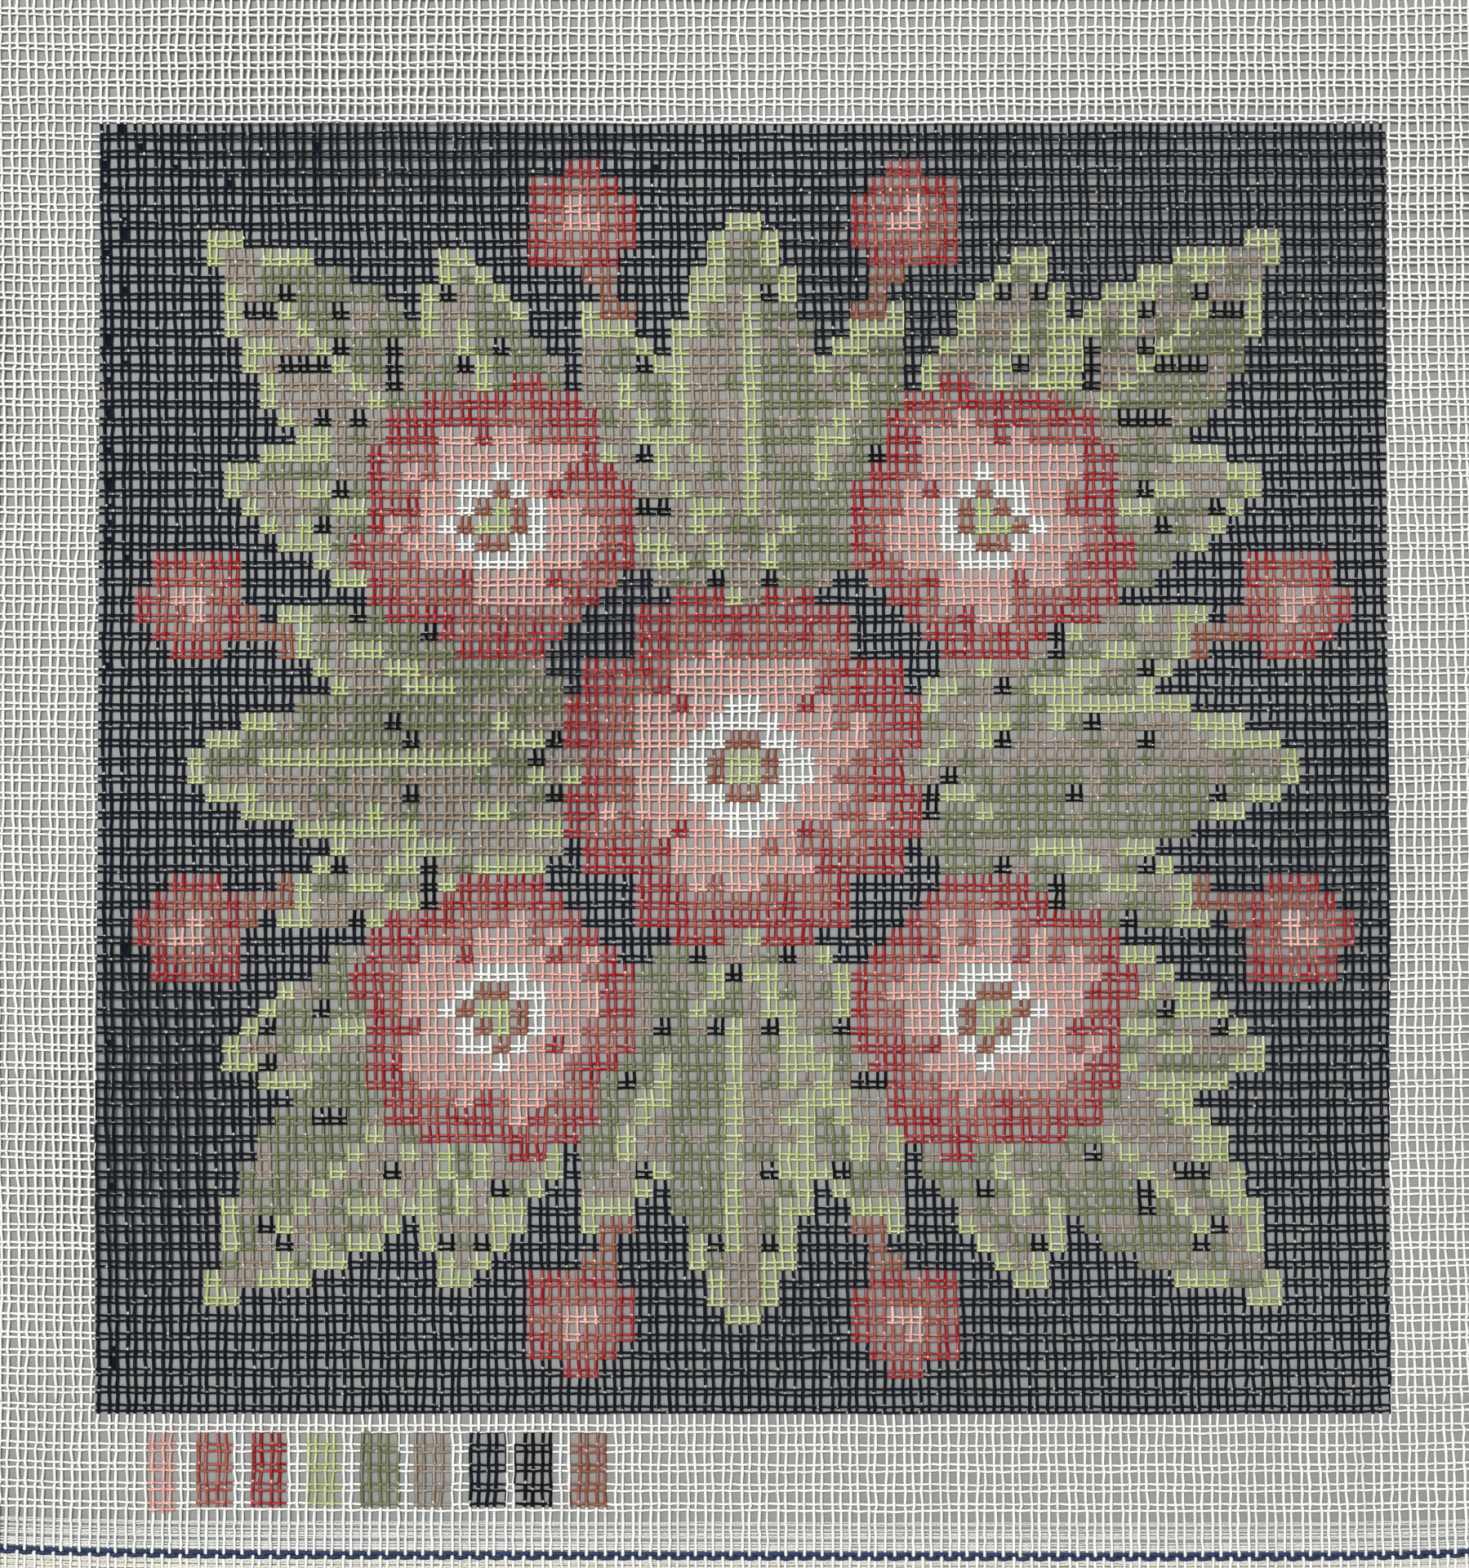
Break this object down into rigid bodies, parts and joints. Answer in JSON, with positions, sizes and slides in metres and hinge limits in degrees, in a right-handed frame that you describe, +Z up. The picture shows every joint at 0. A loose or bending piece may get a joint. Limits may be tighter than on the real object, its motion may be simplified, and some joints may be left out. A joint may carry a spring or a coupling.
{
  "type": "needlepoint canvas panel",
  "caption": "Flat length of double-thread needlepoint canvas with a printed floral square, a printed colour key and a woven selvedge.",
  "frame": {"origin": "on the surface the cloth lies on, under the middle of its outline", "axes": "+Z up out of the cloth's printed face, +Y towards the top of the picture, +X to its right"},
  "size_m": [0.5068, 0.5094, 0.0041],
  "materials": {
    "cotton_canvas": "stiffened matt cotton threads in open pairs, printed in flat colours on the face"
  },
  "bodies": {
    "root": {"canvas": "cotton_canvas"}
  },
  "joints": []
}
